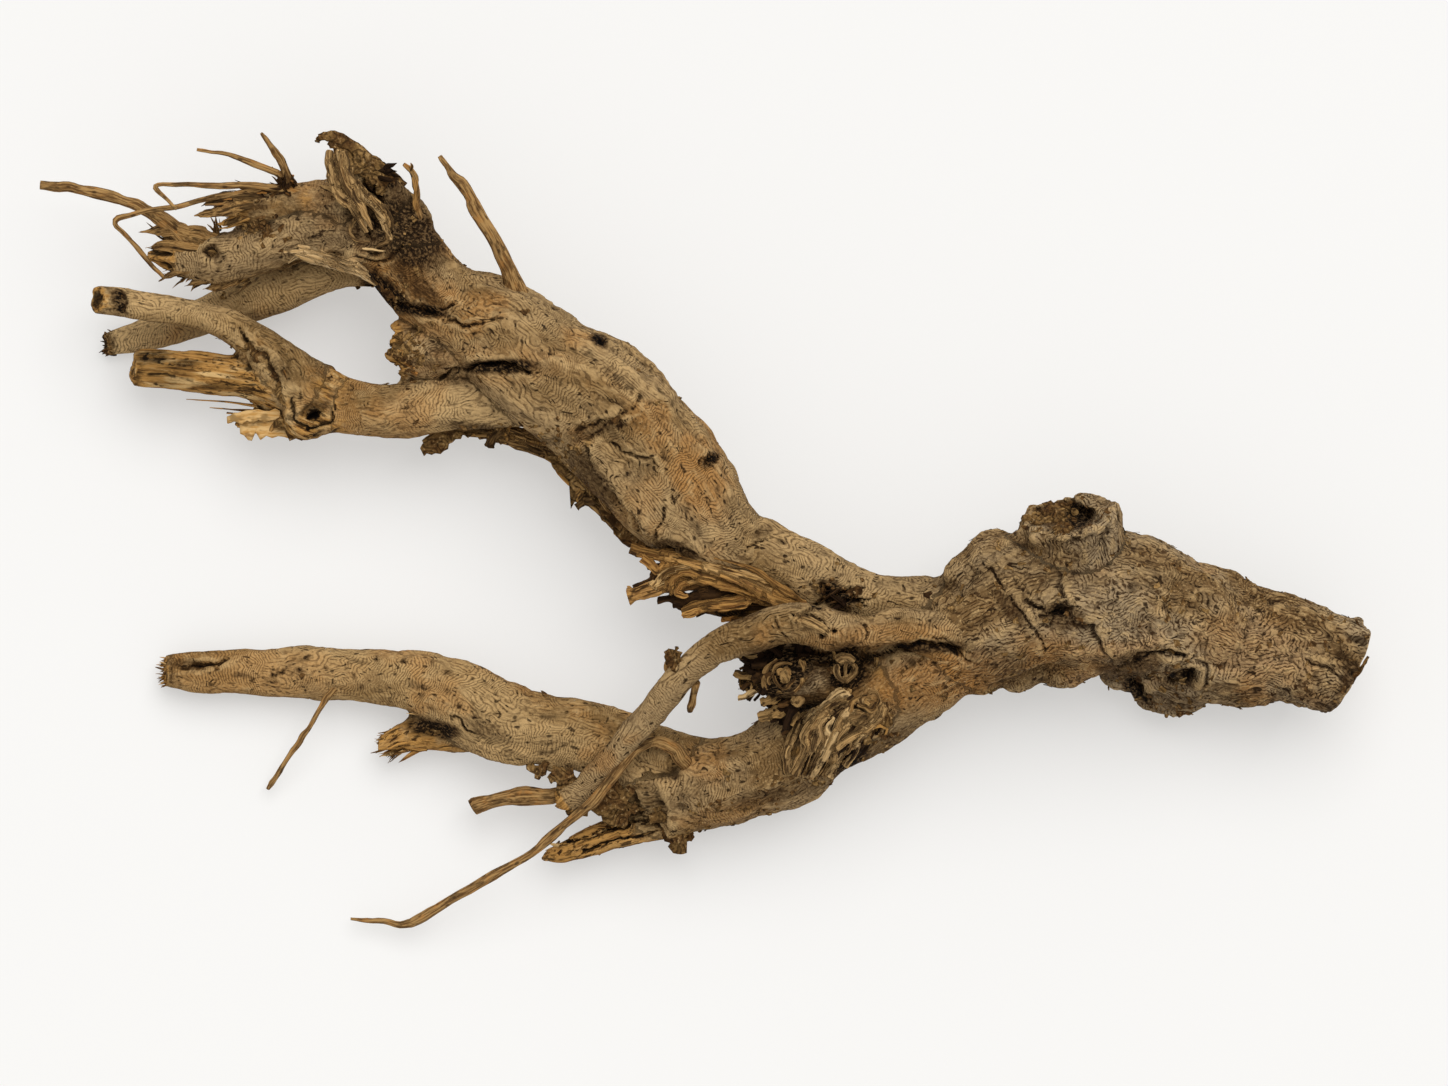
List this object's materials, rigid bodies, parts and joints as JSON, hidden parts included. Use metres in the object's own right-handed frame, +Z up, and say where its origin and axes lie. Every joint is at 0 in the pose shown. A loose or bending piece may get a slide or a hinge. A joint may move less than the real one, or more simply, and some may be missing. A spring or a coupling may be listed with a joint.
{
  "type": "dry root",
  "caption": "Dry forked root lying on its side: a sawn trunk with a hollow knot stub splits into two crooked limbs that end in broken stubs, splinters and thin rootlets.",
  "frame": {"origin": "middle of the root's bounding box in plan, on the surface that it lies on", "axes": "+X along the root's length towards the sawn end of the trunk, +Y across it towards the side of the hollow knot stub, +Z up"},
  "size_m": [0.5849, 0.3497, 0.0907],
  "materials": {
    "dry_wood": "dull weathered bark over bare splintered wood"
  },
  "bodies": {
    "root": {"dry_root": "dry_wood"}
  },
  "joints": []
}
